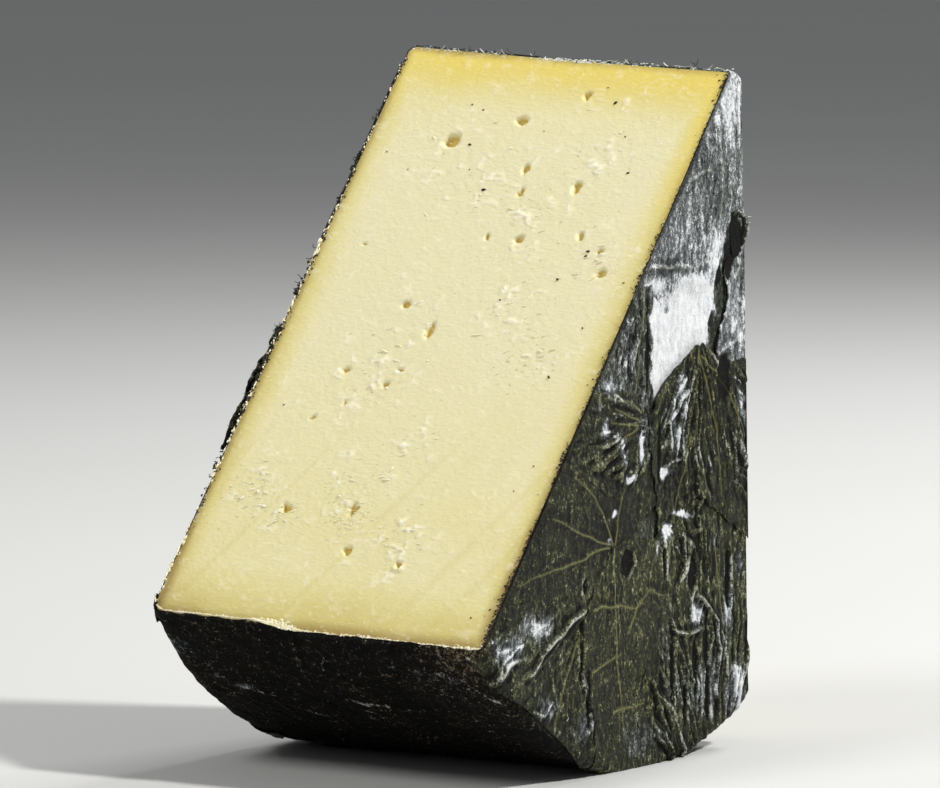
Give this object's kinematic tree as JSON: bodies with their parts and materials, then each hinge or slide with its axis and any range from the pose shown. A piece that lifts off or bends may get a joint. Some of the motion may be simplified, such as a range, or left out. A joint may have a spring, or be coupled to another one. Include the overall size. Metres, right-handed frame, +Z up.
{
  "type": "nettle-wrapped cheese wedge",
  "caption": "Wedge of semi-hard cheese cut across a small round wheel wrapped in dark pressed nettle leaves, standing on its rim with the pale cut face leaning back.",
  "frame": {"origin": "centre of the bounding box's base, on the surface that the rim rests on", "axes": "+X along the wheel's axis towards the leafy flat face, +Y away from the leaning cut face, +Z up"},
  "size_m": [0.0826, 0.0974, 0.1389],
  "materials": {
    "cheese_paste": "moist, slightly waxy cut paste, cream in the middle and yellow near the leaves",
    "green_leaf": "dark olive pressed leaf, wrinkled, with a soft sheen on the creases",
    "dark_leaf": "nearly black pressed leaf with grey fibrous mould",
    "moulded_leaf": "leaf under a dusting of white and grey mould"
  },
  "bodies": {
    "root": {"cheese_paste": "cheese_paste", "leaf_coat_left": "moulded_leaf", "leaf_coat_right": "moulded_leaf", "leaf_coat_rim": "dark_leaf", "leaf_coat_top": "dark_leaf", "leaf_flap_left_edge": "dark_leaf", "leaf_lip_back_edge": "green_leaf", "nettle_leaf_back_edge": "green_leaf", "nettle_leaf_fanned": "green_leaf", "nettle_leaf_left_back": "green_leaf", "nettle_leaf_left_front": "green_leaf", "nettle_leaf_left_lower": "green_leaf", "nettle_leaf_left_middle": "green_leaf", "nettle_leaf_left_upper": "green_leaf", "nettle_leaf_lower_left": "green_leaf", "nettle_leaf_lower_middle": "green_leaf", "nettle_leaf_lower_right": "green_leaf", "nettle_leaf_pleated": "green_leaf", "nettle_leaf_side_pleats": "green_leaf", "nettle_leaf_strip": "green_leaf", "nettle_leaf_top": "moulded_leaf"}
  },
  "joints": []
}
